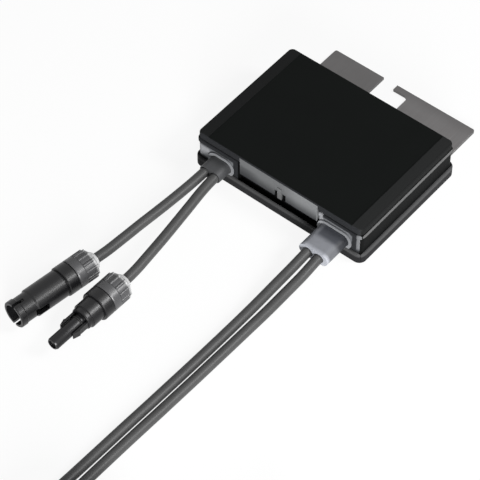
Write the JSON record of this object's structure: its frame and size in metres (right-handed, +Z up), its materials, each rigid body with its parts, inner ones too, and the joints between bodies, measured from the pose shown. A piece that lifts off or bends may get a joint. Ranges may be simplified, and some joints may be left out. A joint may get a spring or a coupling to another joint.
{
  "type": "power optimizer",
  "caption": "Flat black solar power optimizer with a slotted steel mounting bracket, short input leads with plug connectors and longer output leads.",
  "frame": {"origin": "centre of the base rim's footprint, on its underside", "axes": "+X along the cable side from the input gland to the output gland, +Y towards the bracket, +Z up out of the cover"},
  "size_m": [0.229, 0.4385, 0.0303],
  "materials": {
    "base_black": "satin",
    "wall_grey": "satin",
    "cover_black": "fine matte texture",
    "seal_rubber": "matte",
    "screw_steel": "zinc plated",
    "bracket_steel": "brushed along the slot",
    "board_green": "solder mask",
    "pad_grey": "soft",
    "ferrite": "matte",
    "copper": "enamelled copper",
    "film_yellow": "moulded",
    "can_blue": "sleeved can",
    "chip_black": "moulded",
    "terminal_brass": "plain",
    "gland_dark": "matte",
    "gland_light": "satin",
    "lead_sheath": "satin",
    "plug_black": "satin",
    "tie_black": "satin",
    "contact_tin": "tin plated"
  },
  "bodies": {
    "root": {"base_tray": "base_black", "housing_frame": "wall_grey", "top_cover": "cover_black", "cover_gasket": "seal_rubber", "housing_screws": "screw_steel", "mounting_bracket": "bracket_steel", "bracket_screws": "screw_steel", "circuit_board": "board_green", "board_screws": "screw_steel", "thermal_pad": "pad_grey", "inductor_core": "ferrite", "inductor_winding": "copper", "film_capacitors": "film_yellow", "bulk_capacitors": "can_blue", "power_transistors": "chip_black", "control_chip": "chip_black", "line_transformer": "chip_black", "input_terminals": "terminal_brass", "output_terminals": "terminal_brass", "input_gland": "gland_dark", "output_gland": "gland_light", "input_lead_left": "lead_sheath", "input_lead_right": "lead_sheath", "output_lead_left": "lead_sheath", "output_lead_right": "lead_sheath", "output_tail_left": "lead_sheath", "output_tail_right": "lead_sheath", "lead_coil_outer": "lead_sheath", "lead_coil_inner": "lead_sheath", "coil_ties": "tie_black", "in_hood_shell": "plug_black", "in_hood_nut": "plug_black", "in_hood_seal": "seal_rubber", "in_hood_pin": "contact_tin", "in_nose_shell": "plug_black", "in_nose_nut": "plug_black", "in_nose_seal": "seal_rubber", "in_nose_socket": "contact_tin", "in_nose_ring": "seal_rubber", "out_hood_shell": "plug_black", "out_hood_nut": "plug_black", "out_hood_seal": "seal_rubber", "out_hood_pin": "contact_tin", "out_nose_shell": "plug_black", "out_nose_nut": "plug_black", "out_nose_seal": "seal_rubber", "out_nose_socket": "contact_tin", "out_nose_ring": "seal_rubber"}
  },
  "joints": []
}
